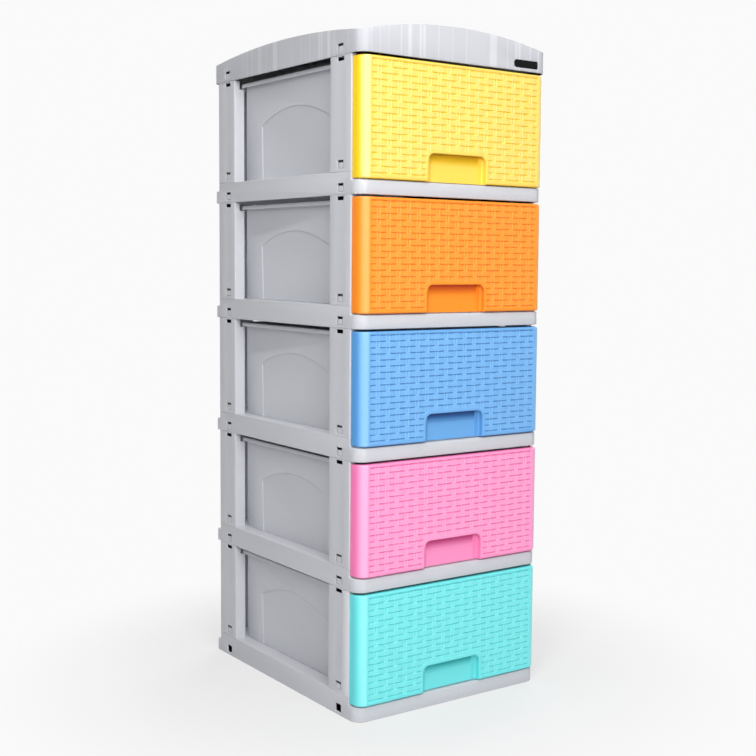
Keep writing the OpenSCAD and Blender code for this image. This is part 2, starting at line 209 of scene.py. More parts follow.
def weaveRelief(x, z, height, plan, tints):
    # bands of three canes pass in front of every second stake: depth = sway (1 - cos(pi (stake + band))) / 2,
    # with a rounded crown on each cane, the two strands of the stake where the band dips behind them,
    # and a slot under each band, crossed by the strands, where the next one starts
    pitch = rowPitch(height, plan)
    s = (height - plan["firstRow"] - z) / pitch
    band, row = np.floor(s), np.round(s)
    stake = x / plan["stake"]
    wave = 0.5 - 0.5 * np.cos(math.pi * (stake + band))
    crown = (2 * np.mod(plan["canes"] * (s - band), 1) - 1) ** 2
    cane = plan["sway"] * wave + plan["cane"] * crown
    off = np.abs(stake - np.round(stake)) * plan["stake"]
    across = (off - plan["strandApart"]) / plan["strandHalf"]
    strand = plan["strandDepth"] + plan["strandRound"] * across ** 2
    ridge = np.exp(-across ** 2)
    depth = np.minimum(cane, strand) + plan["strandMark"] * np.exp(-(off / plan["markHalf"]) ** 2)
    reach = plan["stake"] * np.abs(np.mod(stake + row, 2) - 1)
    along = 1 - ramp(reach, plan["slotHalf"] - plan["slotEnd"], plan["slotHalf"] + plan["slotEnd"])
    along = np.where(row == 0, 1.0, along) * (1 - plan["bridged"] * ridge)
    slot = along * (1 - ramp(np.abs(s - row) * pitch, plan["slotHigh"] - plan["slotSide"],
                             plan["slotHigh"] + plan["slotSide"]))
    # the weave fades out at its sides, above the first slot, below the last one and round the pull
    inside = ramp(plan["weaveHalf"] - np.abs(x), 0, plan["border"])
    inside = inside * ramp(s * pitch, -plan["fadeOuter"], -plan["fadeInner"])
    inside = inside * ramp(z, plan["lastRow"] - plan["fadeOuter"], plan["lastRow"] - plan["fadeInner"])
    inside = inside * ramp(pullDistance(x, z, plan), plan["pullMargin"] - plan["marginSoft"],
                           plan["pullMargin"] + plan["marginSoft"])
    depth = plan["level"] + np.minimum(depth, plan["deepest"]) + plan["slotDepth"] * slot
    # painted highlight: the strands and the crowns of the canes are tinted paler, more where the band dips behind
    pale = np.maximum(ridge * (tints["strand"] + tints["strandOver"] * wave),
                      tints["cane"] * (1 - crown) * (1 - wave)) * (1 - slot)
    return depth * inside, slot * inside, pale * inside


def crowdedSteps(first, last, each, crowd):
    # t - crowd sin(2 pi t) / 2 pi, which brings the steps closer to whole numbers
    t = np.arange(math.floor(first * each), math.ceil(last * each) + 1) / each
    return t - crowd * np.sin(2 * math.pi * t) / (2 * math.pi)


def frontOutline(half, frontY, wingY, plan):
    # stations from the left wing to the right wing, with quarter circles between: x, y and the outward normal
    r = plan["corner"]
    angle = np.linspace(0, quarterTurn, plan["cornerSteps"])
    wing = np.linspace(wingY, frontY + r, plan["wingSteps"])[:-1]
    across = crowdedSteps(-plan["stakes"], plan["stakes"], plan["columnsPerStake"], plan["crowd"]) * plan["stake"]
    across = across[np.abs(across) < half - r - plan["stationGap"]]
    left = np.concatenate([
        np.stack([-half + 0 * wing, wing, -1 + 0 * wing, 0 * wing], 1),
        np.stack([-half + r - r * np.cos(angle), frontY + r - r * np.sin(angle), -np.cos(angle), -np.sin(angle)], 1)])
    middle = np.stack([across, frontY + 0 * across, 0 * across, -1 + 0 * across], 1)
    return np.concatenate([left, middle, left[::-1] * (-1, 1, -1, 1)])


def frontLevels(height, plan):
    # heights from the lower edge to the upper one, with the inset of the quarter rounds at both ends
    bottom, top, gap = plan["bottomEdge"], plan["topEdge"], plan["levelGap"]
    turn = np.linspace(0, quarterTurn, plan["edgeSteps"])
    lines = crowdedSteps(-1, plan["rows"], plan["linesPerRow"], plan["crowd"])
    body = height - plan["firstRow"] - rowPitch(height, plan) * lines
    body = np.sort(body[(body > bottom + gap) & (body < height - top - gap)])
    levels = np.concatenate([bottom * (1 - np.cos(turn)), body, height - top * (1 - np.sin(turn))])
    inset = np.concatenate([bottom * (1 - np.sin(turn)), 0 * body, top * (1 - np.cos(turn))])
    return levels, inset


def openPull(x, z, flatCell, plan):
    # cells inside the pull go, and the points on its rim move onto the rim along its normal
    rows, columns = x.shape
    rim = pullDistance(x, z, plan) - plan["pullEdge"]
    centre = pullDistance((x[:-1, :-1] + x[1:, 1:]) / 2, (z[:-1, :-1] + z[1:, 1:]) / 2, plan) - plan["pullEdge"]
    gone = (centre < 0) & flatCell[None, :]
    touchGone, touchKept = np.zeros((2, rows, columns), bool)
    for dr in (0, 1):
        for dc in (0, 1):
            touchGone[dr:rows - 1 + dr, dc:columns - 1 + dc] |= gone
            touchKept[dr:rows - 1 + dr, dc:columns - 1 + dc] |= ~gone
    onRim = touchGone & touchKept
    nx, nz = pullNormal(x, z, plan)
    x[onRim] -= (nx * rim)[onRim]
    z[onRim] -= (nz * rim)[onRim]
    return gone, onRim, touchKept[0], nx, nz


def pocketRings(rimIn, plan, tints):
    # rows of distance out from the foot of the rim, depth, 1 once stepped up, share of the height lost, painted
    # shade:
    # a quarter round for the lip, a step up behind the wall, a quarter round into the back wall, the back wall
    deep, edge, fillet, still = plan["pullDepth"], plan["pullEdge"], plan["pocketEdge"], 0 * rimIn
    lip = np.linspace(0, quarterTurn, plan["lipSteps"])[1:]
    bend = np.linspace(0, quarterTurn, plan["pocketSteps"])[1:]
    rings = [(edge * (1 - math.sin(a)), rimIn + (edge + plan["lipPast"] - rimIn) * (1 - math.cos(a)), 0, 0, 0)
             for a in lip]
    rings += [(0, plan["stepDepth"] + still, 0, 0, tints["step"]), (0, plan["stepDepth"] + still, 1, 0, 1),
              (0, deep - fillet + still, 1, 0, 1)]
    rings += [(-fillet * (1 - math.cos(a)), deep - fillet + fillet * math.sin(a) + still, 1, 0, 1) for a in bend]
    # on the back wall the rings come down as well, so that the painted shade under the rim can fade out
    return rings + [(-inwards, deep + still, 1, lost, shade) for inwards, lost, shade in plan["pocketBack"]]


def tintFront(mesh, rest, facing, levels, inset, slot, pale, pocketShade, plan, tints):
    # painted sheen, highlight and shade masks for the points of the front, then none for the rest of the wall, then
    # those of the pocket
    # painted sheen: the paler face tint where the surface looks to the front, lost in the slots
    face = ramp(facing, *tints["faceFrom"])[None, :] * (1 - ramp(inset, *tints["faceInset"]))[:, None]
    face = face * (1 - tints["slotLoss"] * slot)
    # painted shade: the deep tint in the slots and on the rounding under the lower edge, which faces down
    under = (tints["under"] * inset / plan["bottomEdge"] * (levels < levels[-1] / 2))[:, None]
    hollow = np.maximum(tints["slot"] * slot, under)
    # painted highlight: the pale tint on the bend of the corners
    bend = tints["bend"] * ramp(facing, *tints["bendFrom"]) * (1 - ramp(facing, *tints["bendTo"]))
    paintedHighlight = np.maximum(pale, bend[None, :] * (1 - ramp(inset, *tints["bendInset"]))[:, None])
    # painted sheen on the lower part of the pocket, gone where its painted shade is full
    pocketFace = tints["pocketFace"] * (1 - pocketShade) ** 2
    for label, values, inPocket in (("hollow", hollow, pocketShade), ("paintedHighlight", paintedHighlight, 0 * pocketShade),
                                    ("flat", face, pocketFace)):
        setMask(mesh, label, "POINT", np.concatenate([values.reshape(-1), np.zeros(rest), inPocket]))


def wovenFront(k, plan, tints):
    low, high = nodeBox(f"drawer_front_{k}")
    half, frontY, wingY, height = high[0], low[1], high[1], high[2] - low[2]
    outline = frontOutline(half, frontY, wingY, plan)
    levels, inset = frontLevels(height, plan)
    rows, columns = len(levels), len(outline)
    x = np.broadcast_to(outline[:, 0], (rows, columns)).copy()
    z = np.broadcast_to(levels[:, None], (rows, columns)).copy()
    facing = -outline[:, 3]
    flatCell = (np.abs(outline[:-1, 0]) < half - plan["corner"]) & (facing[:-1] > plan["facingFront"])
    gone, onRim, keptBelow, nx, nz = openPull(x, z, flatCell, plan)
    relief, slot, pale = weaveRelief(x, z, height, plan, tints)
    sink = relief * (facing > plan["facingFront"]) + inset[:, None]
    points = np.stack([x - outline[None, :, 2] * sink, outline[None, :, 1] - outline[None, :, 3] * sink, z], -1)
    frontPoints = points.reshape(-1, 3)
    faces = gridFaces(rows, columns)[~gone.reshape(-1)].tolist()
    # the back line, kept behind the wall's thickness and in front of the tub's plate
    wall = plan["wall"]
    backX = np.clip(outline[:, 0] - outline[:, 2] * wall, -half + wall, half - wall)
    backY = np.maximum(outline[:, 1] - outline[:, 3] * wall, plan["backY"])
    back = np.stack([np.tile(backX, 2), np.tile(backY, 2), np.repeat([height, 0.0], columns)], 1)
    strip, line = np.arange(columns), rows * columns
    faces += bandFaces((rows - 1) * columns + strip, line + strip) + bandFaces(line + strip, line + columns + strip)
    for c in (0, columns - 1):
        faces.append([*(np.arange(rows) * columns + c).tolist(), line + c, line + columns + c])
    # the pocket runs round the rim from one side to the other, seen from a point well below it
    rimIndex = np.flatnonzero(onRim.reshape(-1))
    order = np.argsort(np.arctan2(x.reshape(-1)[rimIndex], z.reshape(-1)[rimIndex] + plan["orderFrom"]))
    rimIndex = rimIndex[order]
    rimX, rimZ, rimNx, rimNz = (a.reshape(-1)[rimIndex] for a in (x, z, nx, nz))
    footX, footZ = rimX - rimNx * plan["pullEdge"], rimZ - rimNz * plan["pullEdge"]
    stepUp = plan["stepUp"] * (footZ > plan["pullHigh"] - plan["pullCorner"] + plan["topSlack"])
    rings = pocketRings(frontPoints[rimIndex, 1] - frontY, plan, tints)
    pocket = np.concatenate([
        np.stack([footX + rimNx * d, frontY + y, (footZ + rimNz * d + up * stepUp) * (1 - lost)], 1)
        for d, y, up, lost, _ in rings])
    # painted shade in the pocket, full under its top rim and faint at its sides
    underRim = tints["pocketSide"] + (1 - tints["pocketSide"]) * np.clip(rimNz, 0, 1)
    pocketShade = np.concatenate([shade * underRim for *_, shade in rings])
    around = len(rimIndex)
    loops = [rimIndex] + [line + 2 * columns + i * around + np.arange(around) for i in range(len(rings))]
    for a, b in zip(loops[:-1], loops[1:]):
        faces += bandFaces(a, b)
    faces.append(loops[-1].tolist())
    # the underside: one face round the lower edge, the pocket's ends and the back line
    leftLower, rightLower = (strip[keptBelow & (side * outline[:, 0] > 0)].tolist() for side in (-1, 1))
    faces.append(leftLower + [int(loop[0]) for loop in loops[1:]] + [int(loop[-1]) for loop in loops[:0:-1]]
                 + rightLower + (line + columns + strip[::-1]).tolist())
    allPoints = np.concatenate([frontPoints, back, pocket]) + (0, 0, low[2])
    piece = meshPiece(f"woven_front_{k}", allPoints, faces, f"drawer_{k}", f"drawer_front_{k}")
    tintFront(piece.data, len(back), facing, levels, inset, slot, pale, pocketShade, plan, tints)
    smooth(piece.data, plan["sharpFrom"])
    return piece


fronts = {k: wovenFront(k, drawerFront, frontTints) for k in tiers}
print("fronts woven", [len(f.data.polygons) for f in fronts.values()])


# the grey mouldings are the solids with their outer edges rounded: widths of the main and the fine edges, segments
softEdge = dict(
    deck=dict(main=1.1, fine=0.35, segments=3), post=dict(main=1.0, fine=0.35, segments=3),
    tub=dict(main=0.55, fine=0.12, segments=2), lid=dict(main=1.3, fine=0.35, segments=3),
    sharpFrom=35, flatWithin=0.5,          # degrees: what counts as an edge, what is joined as flat
)
postEdge = dict(outside=142.9, slack=0.05, upright=0.9)      # an upright edge's place, and how upright it is
deckEdge = dict(
    sideX=159.9, frontY=-199.4, rearY=202.4, leastArea=28,   # beyond these lie the outer edges; mm2
    nose=(143, -182.5), noseRadius=17, noseSlack=0.15,       # the front corner's round
    rear=(157, 199.5), rearRadius=2.5,                       # the rear corner's round, and what lies outside it
)
tubEdge = dict(rimHigh=6.0, halfWidth=150)                   # down from the rim's top, and out from the middle
lidEdge = dict(leastArea=3, slack=0.05)                      # mm2, and up from the lower rim
# where the grey pieces get painted shade behind their windows and slots
windows = dict(
    inside=144.5, wallX=157.9, bandX=157.6, bandSlack=0.05,  # dark between the first two, but not on the bands' backs
    slack=0.1,                                               # a post's end faces stay pale
    postY=(-153.5, 167), postHalf=27,                        # the posts' middles, and how far round them is dark
    deckHigh=17.4, lidHigh=25,                               # down from the deck's top, up from the lid's lower rim
    wideFace=900, level=0.9,                                 # mm2: faces past this that lie so level stay pale
)
sunkPanel = dict(
    wallX=142, lean=3.5,                                     # the wall at the rim, its lean in down to the floor
    sunk=0.8, slack=0.12, deeper=0.6,                        # how far in the panel lies, and goes in addition
    frontY=-99, rearY=95, high=103,                          # the panel's points lie between these
)


def column(items, label, width=1, kind=float):
    # one attribute of all the items as an array, with width numbers for each
    values = np.empty(len(items) * width, kind)
    items.foreach_get(label, values)
    return values.reshape(-1, width) if width > 1 else values


def edgeTable(mesh, points):
    # for each edge: its middle, its direction, the turn between its two faces in degrees, their smaller area in mm2
    ends = points[column(mesh.edges, "vertices", 2, int)]
    total = column(mesh.polygons, "loop_total", kind=int)
    loopEdge = column(mesh.loops, "edge_index", kind=int)
    face = np.repeat(np.arange(len(total)), total)[np.argsort(loopEdge, kind="stable")].reshape(-1, 2)
    normal = column(mesh.polygons, "normal", 3)[face]
    turn = np.degrees(np.arccos(np.clip((normal[:, 0] * normal[:, 1]).sum(1), -1, 1)))
    way = ends[:, 1] - ends[:, 0]
    way = np.abs(way) / np.maximum(np.linalg.norm(way, axis=1, keepdims=True), 1e-9)
    return ends.mean(1), way, turn, column(mesh.polygons, "area")[face].min(1) * squareMillimetres


def mainEdge(kind, middle, way, area, low, high):
    # the edges that show as lines of light: those of the outline, not of windows, sockets or sunk panels
    x, y, z = np.abs(middle[:, 0]), middle[:, 1], middle[:, 2]
    if kind == "post":
        sideY = (np.abs(y - low[1]) < postEdge["slack"]) | (np.abs(y - high[1]) < postEdge["slack"])
        return sideY & (way[:, 2] > postEdge["upright"]) & (x > postEdge["outside"])
    if kind == "deck":
        (noseX, noseY), (rearX, rearY) = deckEdge["nose"], deckEdge["rear"]
        straight = (x > deckEdge["sideX"]) | (y < deckEdge["frontY"]) | (y > deckEdge["rearY"])
        offNose = np.abs(np.hypot(x - noseX, y - noseY) - deckEdge["noseRadius"])
        noseBend = (y < noseY) & (x > noseX) & (offNose < deckEdge["noseSlack"])
        rearBend = (y > rearY) & (x > rearX) & (np.hypot(x - rearX, y - rearY) > deckEdge["rearRadius"])
        return (area > deckEdge["leastArea"]) & (straight | noseBend) | rearBend
    if kind == "tub":
        return (z > high[2] - tubEdge["rimHigh"]) & (x < tubEdge["halfWidth"])
    return (area > lidEdge["leastArea"]) & (z < low[2] + lidEdge["slack"])


def paintedShadeInside(kind, points, low, high):
    # painted shade: 1 on the points behind a window or slot, which are painted dark for the shade in them
    x, y, z = np.abs(points[:, 0]), points[:, 1], points[:, 2]
    if kind == "tub":
        return np.zeros(len(points), bool)
    behind = (x > windows["inside"]) & (x < windows["wallX"])
    if kind == "post":
        return behind & (np.abs(y - low[1]) >= windows["slack"]) & (np.abs(y - high[1]) >= windows["slack"])
    front, rear = (np.abs(y - middle) < windows["postHalf"] for middle in windows["postY"])
    windowed = z > high[2] - windows["deckHigh"] if kind == "deck" else z < low[2] + windows["lidHigh"]
    return behind & (np.abs(x - windows["bandX"]) > windows["bandSlack"]) & (front | rear) & windowed


def cornerMask(mesh, label, values):
    # the points' values on the corners of the faces, but 0 on wide level faces, such as a deck's top
    level = np.abs(column(mesh.polygons, "normal", 3)[:, 2]) > windows["level"]
    wide = level & (column(mesh.polygons, "area") * squareMillimetres > windows["wideFace"])
    wide = np.repeat(wide, column(mesh.polygons, "loop_total", kind=int))
    setMask(mesh, label, "CORNER", values[column(mesh.loops, "vertex_index", kind=int)] * ~wide)


def deeperPanel(points, low, high, plan):
    # the wall leans in evenly from rim to floor, and the points of the sunk panel inside it go deeper,
    # so that the panel's step is wide enough to be seen
    wall = plan["wallX"] - plan["lean"] * (1 - (points[:, 2] - low[2]) / (high[2] - low[2]))
    sunk = np.abs(np.abs(points[:, 0]) - (wall - plan["sunk"])) < plan["slack"]
    sunk &= (points[:, 1] > plan["frontY"]) & (points[:, 1] < plan["rearY"]) & (points[:, 2] < low[2] + plan["high"])
    points[:, 0] -= np.where(sunk, plan["deeper"] * np.sign(points[:, 0]), 0)
    return points


def softEdged(node, kind, body):
    # a merged copy of the solid with flat faces joined, its main edges rounded and its fine ones just broken
    plan = softEdge[kind]
    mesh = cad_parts[node].data.copy()
    mesh.materials.clear()
    work = bmesh.new()
    work.from_mesh(mesh)
    bmesh.ops.remove_doubles(work, verts=work.verts, dist=1e-6)
    within = math.radians(softEdge["flatWithin"])
    bmesh.ops.dissolve_limit(work, angle_limit=within, verts=work.verts, edges=work.edges)
    work.to_mesh(mesh)
    work.free()
    mesh.name = node + "_soft"
    points = column(mesh.vertices, "co", 3) * inMillimetres
    low, high = points.min(0), points.max(0)
    if kind == "tub":
        points = deeperPanel(points, low, high, sunkPanel)
        mesh.vertices.foreach_set("co", (points * inMetres).reshape(-1))
        mesh.update()
    middle, way, turn, area = edgeTable(mesh, points)
    sharp = turn > softEdge["sharpFrom"]
    width = np.where(mainEdge(kind, middle, way, area, low, high), 1.0, plan["fine"] / plan["main"]) * sharp
    setMask(mesh, "bevel_weight_edge", "EDGE", width)
    # painted shade behind windows and slots, as a mask on the corners
    cornerMask(mesh, "hollow", paintedShadeInside(kind, points, low, high))
    smooth(mesh)
    piece = bpy.data.objects.new(node + "_soft", mesh)
    scene.collection.objects.link(piece)
    bevel = piece.modifiers.new("edges", "BEVEL")
    bevel.width, bevel.segments = plan["main"] * inMetres, plan["segments"]
    bevel.limit_method, bevel.use_clamp_overlap, bevel.harden_normals = "WEIGHT", False, True
    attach(piece, body)
    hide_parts(node)
    return piece


greyPieces = [softEdged(n, "deck", "frame") for n in decks]
greyPieces += [softEdged(n, "post", "frame") for n in posts]
greyPieces += [softEdged("lid", "lid", "frame")]
tubPieces = [softEdged(f"drawer_tub_{k}", "tub", f"drawer_{k}") for k in tiers]


badgePlate = dict(leftRound=5.2, rightRound=2.2, steps=10, edge=0.35, edgeSteps=5, sharpFrom=40)


def roundedBadge(plan):
    # an outline with one wide and one narrow pair of corners, carried up the plate with a quarter round at its face
    low, high = nodeBox("badge_plate")
    turn = np.linspace(0, quarterTurn, plan["steps"])
    left, right = plan["leftRound"], plan["rightRound"]
    outline = []
    for sx, sz, r in ((1, 1, right), (-1, 1, left), (-1, -1, left), (1, -1, right)):
        a = turn if sx * sz > 0 else turn[::-1]
        cornerX = (high if sx > 0 else low)[0] - sx * r
        cornerZ = (high if sz > 0 else low)[2] - sz * r
        outline.append(np.stack([cornerX + sx * r * np.cos(a), cornerZ + sz * r * np.sin(a),
                                 sx * np.cos(a), sz * np.sin(a)], 1))
    outline = np.concatenate(outline)
    rings = [(0, high[1])]
    rings += [(plan["edge"] * (1 - math.cos(a)), low[1] + plan["edge"] * (1 - math.sin(a)))
              for a in np.linspace(0, quarterTurn, plan["edgeSteps"])]
    points = np.concatenate([
        np.stack([outline[:, 0] - outline[:, 2] * d, y + 0 * outline[:, 0], outline[:, 1] - outline[:, 3] * d], 1)
        for d, y in rings])
    m = len(outline)
    around = np.arange(m)
    faces = [around.tolist(), ((len(rings) - 1) * m + around).tolist()]
    for i in range(len(rings) - 1):
        a, b = i * m + around, i * m + np.roll(around, -1)
        faces += np.stack([a, b, b + m, a + m], 1).tolist()
    piece = meshPiece("rounded_badge", points, faces, "frame", "badge_plate")
    smooth(piece.data, plan["sharpFrom"])
    return piece


badge = roundedBadge(badgePlate)
print("grey mouldings softened", len(greyPieces) + len(tubPieces))


def newGroup(name, inputs, outputs):
    # sockets are (kind, name, value) rows
    group = bpy.data.node_groups.new(name, "ShaderNodeTree")
    for kind, label, value in inputs:
        socket = group.interface.new_socket(name=label, in_out="INPUT", socket_type="NodeSocket" + kind)
        socket.default_value = value
    for kind, label in outputs:
        group.interface.new_socket(name=label, in_out="OUTPUT", socket_type="NodeSocket" + kind)
    return group, group.nodes.new("NodeGroupInput"), group.nodes.new("NodeGroupOutput")


def add(tree, kind, values=(), **settings):
    # a node with its settings, and (socket, number or output) rows for what goes into it
    node = tree.nodes.new("ShaderNode" + kind)
    for key, value in settings.items():
        setattr(node, key, value)
    for socket, value in values:
        if isinstance(value, bpy.types.NodeSocket):
            tree.links.new(value, node.inputs[socket])
        else:
            node.inputs[socket].default_value = value
    return node


# short forms for the nodes used most, each giving the node's output
def calc(tree, operation, *terms):
    return add(tree, "Math", list(enumerate(terms)), operation=operation).outputs[0]


def remap(tree, value, fromRange, toRange=(0.0, 1.0), **settings):
    return add(tree, "MapRange", [("Value", value), ("From Min", fromRange[0]), ("From Max", fromRange[1]),
                                  ("To Min", toRange[0]), ("To Max", toRange[1])], **settings).outputs["Result"]


def mixed(tree, mask, first, second):
    return add(tree, "Mix", [("Factor", mask), (6, first), (7, second)], data_type="RGBA").outputs[2]


def noise(tree, place, scale, detail, rough=0.5):
    return add(tree, "TexNoise", [("Vector", place), ("Scale", scale), ("Detail", detail),
                                  ("Roughness", rough)]).outputs["Fac"]


def objectPlace(tree):
    return add(tree, "TexCoord").outputs["Object"]


def normalUp(tree):
    # how far a face looks up, from -1 to 1
    return add(tree, "SeparateXYZ", [(0, add(tree, "NewGeometry").outputs["Normal"])]).outputs["Z"]


# noise scales are cells in a metre; a range is where a mask goes from 0 to 1
skinLook = dict(grainDetail=2.0, grainRough=0.55, cloud=9.0, fleck=160.0, fleckRough=0.6, glossRange=(0.7, 1.3))
scuffLook = dict(tilt=(0.4, 0.2, 0.9), stretch=(1.0, 1.0, 14.0), patches=11.0,
                 patchRange=(0.52, 0.68), lineRange=(0.62, 0.74))
dustLook = dict(patches=24.0, upRange=(0.6, 1.0))
flowLook = dict(middle=0.5, thinRange=(0.014, 0.0), broadRange=(0.46, 0.66), broadTo=(0.0, 0.12),
                wallRange=(0.6, 0.2))


def skinGroup(look):
    # fine spark-eroded grain, slow mottling of colour and gloss
    group, given, out = newGroup(
        "mouldedSkin",
        [("Color", "Plastic", (0.8, 0.8, 0.8, 1)), ("Float", "Grain Scale", 900.0), ("Float", "Grain Height", 0.5),
         ("Float", "Mottle", 0.05), ("Float", "Gloss Low", 0.35), ("Float", "Gloss High", 0.5)],
        [("Color", "Color"), ("Float", "Roughness"), ("Float", "Height")])
    place = objectPlace(group)
    grain = noise(group, place, given.outputs["Grain Scale"], look["grainDetail"], look["grainRough"])
    both = calc(group, "ADD", noise(group, place, look["cloud"], 3.0),
                noise(group, place, look["fleck"], 2.0, look["fleckRough"]))
    amount = calc(group, "MULTIPLY", calc(group, "SUBTRACT", both, 1.0), given.outputs["Mottle"])
    value = calc(group, "ADD", amount, 1.0)
    tint = add(group, "HueSaturation", [("Value", value), ("Color", given.outputs["Plastic"])])
    gloss = remap(group, both, look["glossRange"], (given.outputs["Gloss Low"], given.outputs["Gloss High"]))
    group.links.new(tint.outputs["Color"], out.inputs["Color"])
    group.links.new(gloss, out.inputs["Roughness"])
    group.links.new(calc(group, "MULTIPLY", grain, given.outputs["Grain Height"]), out.inputs["Height"])
    return group


def scuffGroup(look):
    # faint short handling marks: long thin noise cells, kept only where a slower noise is high
    group, given, out = newGroup(
        "handlingScuffs", [("Float", "Scale", 60.0), ("Float", "Amount", 0.3)], [("Float", "Mask")])
    place = objectPlace(group)
    bent = add(group, "Mapping", [("Vector", place), ("Rotation", look["tilt"]), ("Scale", look["stretch"])])
    thin = noise(group, bent.outputs[0], given.outputs["Scale"], 3.0)
    keep = remap(group, noise(group, place, look["patches"], 2.0), look["patchRange"])
    mask = calc(group, "MULTIPLY", keep, remap(group, thin, look["lineRange"]))
    group.links.new(calc(group, "MULTIPLY", mask, given.outputs["Amount"]), out.inputs["Mask"])
    return group


def dustGroup(look):
    # a thin film on faces that look up, broken by noise
    group, given, out = newGroup("settledDust", [("Float", "Amount", 0.1)], [("Float", "Mask")])
    patch = noise(group, objectPlace(group), look["patches"], 4.0)
    mask = calc(group, "MULTIPLY", remap(group, normalUp(group), look["upRange"]), patch)
    group.links.new(calc(group, "MULTIPLY", mask, given.outputs["Amount"]), out.inputs["Mask"])
    return group


def flowGroup(look):
    # painted highlight: light upright lines on the walls of a big moulding, for the light on its fine ridges: noise
    # along x + y, thin where it crosses its middle value and faintly broad where it is high, kept off the faces that
    # look up
    group, given, out = newGroup("flowLines", [("Float", "Scale", 30.0)], [("Float", "Mask")])
    place = add(group, "SeparateXYZ", [(0, objectPlace(group))])
    along = calc(group, "ADD", place.outputs["X"], place.outputs["Y"])
    wide = add(group, "TexNoise", [("W", along), ("Scale", given.outputs["Scale"]), ("Detail", 1.0)],
               noise_dimensions="1D").outputs["Fac"]
    away = calc(group, "ABSOLUTE", calc(group, "SUBTRACT", wide, look["middle"]))
    thin = remap(group, away, look["thinRange"], interpolation_type="SMOOTHSTEP")
    broad = remap(group, wide, look["broadRange"], look["broadTo"], interpolation_type="SMOOTHSTEP")
    wall = remap(group, normalUp(group), look["wallRange"])
    mask = calc(group, "MULTIPLY", calc(group, "MAXIMUM", thin, broad), wall)
    group.links.new(mask, out.inputs["Mask"])
    return group


mouldedSkin, handlingScuffs = skinGroup(skinLook), scuffGroup(scuffLook)
settledDust, flowLines = dustGroup(dustLook), flowGroup(flowLook)


def plastic(name, plan):
    # moulded plastic: painted sheen, highlight and shade tints by mask, then skin, scuffs and dust mixed into one
    # Principled shader
    material = bpy.data.materials.new(name)
    material.use_nodes = True
    tree = material.node_tree
    tree.nodes.clear()
    out = add(tree, "OutputMaterial")
    shader = add(tree, "BsdfPrincipled", [("IOR", plan["ior"]), ("Specular IOR Level", plan["specular"])])
    tree.links.new(shader.outputs[0], out.inputs["Surface"])
    base = (*plan["color"], 1)
    # the tints by mask: painted sheen, painted highlight, painted shade
    for part, label in (("face", "flat"), ("pale", "paintedHighlight"), ("deep", "hollow")):
        if part in plan:
            mask = add(tree, "Attribute", attribute_type="GEOMETRY", attribute_name=label).outputs["Fac"]
            base = mixed(tree, mask, base, (*plan[part], 1))
    # painted highlight lines for the fine ridges
    if "flow" in plan:
        mask = add(tree, "Group", [("Scale", plan["flowScale"])], node_tree=flowLines).outputs[0]
        base = mixed(tree, mask, base, (*plan["flow"], 1))
    skin = add(tree, "Group", [
        ("Plastic", base), ("Grain Scale", plan["grain"]), ("Grain Height", 1.0), ("Mottle", plan["mottle"]),
        ("Gloss Low", plan["gloss"][0]), ("Gloss High", plan["gloss"][1])], node_tree=mouldedSkin)
    scuff = add(tree, "Group", [("Scale", plan["scuffScale"]), ("Amount", plan["scuff"])], node_tree=handlingScuffs)
    dust = add(tree, "Group", [("Amount", plan["dust"])], node_tree=settledDust)
    marks = calc(tree, "MAXIMUM", scuff.outputs[0], dust.outputs[0])
    faded = mixed(tree, marks, skin.outputs["Color"], (*plan["marks"], 1))
    rough = calc(tree, "ADD", marks, skin.outputs["Roughness"])
    bump = add(tree, "Bump", [("Height", skin.outputs["Height"]), ("Distance", plan["bump"] * inMetres),
                              ("Strength", 1.0)])
    tree.links.new(faded, shader.inputs["Base Color"])
    tree.links.new(rough, shader.inputs["Roughness"])
    tree.links.new(bump.outputs[0], shader.inputs["Normal"])
    return material


def tone(red, green, blue):
    # display colour from 0 to 255 as linear light
    shares = (red / 255, green / 255, blue / 255)
    return tuple(c / 12.92 if c <= 0.04045 else ((c + 0.055) / 1.055) ** 2.4 for c in shares)


# gloss is the roughness from smoothest to dullest, scuff and dust are amounts, bump is the grain's height
common = dict(ior=1.49, specular=0.36, grain=1100.0, mottle=0.03, gloss=(0.33, 0.41), scuff=0.04, scuffScale=55.0,
              dust=0.04, bump=0.02, marks=(0.86, 0.86, 0.85))
# the grey's deep tone is painted shade behind windows, slots and sockets
grey = {**common, "color": tone(202, 203, 208), "deep": tone(22, 22, 24), "gloss": (0.32, 0.42), "specular": 0.4}


def bright(color, face, pale, deep):
    # the colour of the sides, the face's painted sheen, the painted highlight on the crests and the painted shade in
    # the hollows
    return {**common, "color": tone(*color), "face": tone(*face), "pale": tone(*pale), "deep": tone(*deep)}


finishes = {
    "framePlastic": grey,
    # the lid's lighter line tone is a painted highlight for the skirt's fine ridges
    "lidPlastic": {**grey, "color": tone(192, 193, 198), "flow": tone(208, 209, 213), "flowScale": 21.0,
                   "gloss": (0.42, 0.5), "specular": 0.3},
    "tubPlastic": {**grey, "color": tone(200, 202, 207), "gloss": (0.38, 0.5)},
    # each colour: the sides, the face with painted sheen, a painted highlight, painted shade
    "yellowPlastic": bright((255, 212, 12), (255, 215, 104), (255, 238, 170), (212, 162, 0)),
    "orangePlastic": bright((255, 142, 12), (255, 150, 46), (255, 188, 106), (210, 76, 0)),
    "bluePlastic": bright((84, 156, 220), (114, 174, 230), (156, 210, 252), (0, 58, 130)),
    "pinkPlastic": bright((255, 128, 188), (255, 156, 202), (255, 192, 230), (200, 56, 124)),
    "aquaPlastic": bright((104, 230, 232), (120, 230, 232), (162, 252, 252), (0, 164, 164)),
    "badgePlastic": {**common, "color": tone(12, 12, 13), "specular": 0.12, "gloss": (0.2, 0.3), "bump": 0.004,
                     "dust": 0.0, "scuff": 0.01},
}
made = {name: plastic(name, plan) for name, plan in finishes.items()}


def paint(piece, finish):
    piece.data.materials.clear()
    piece.data.materials.append(made[finish])


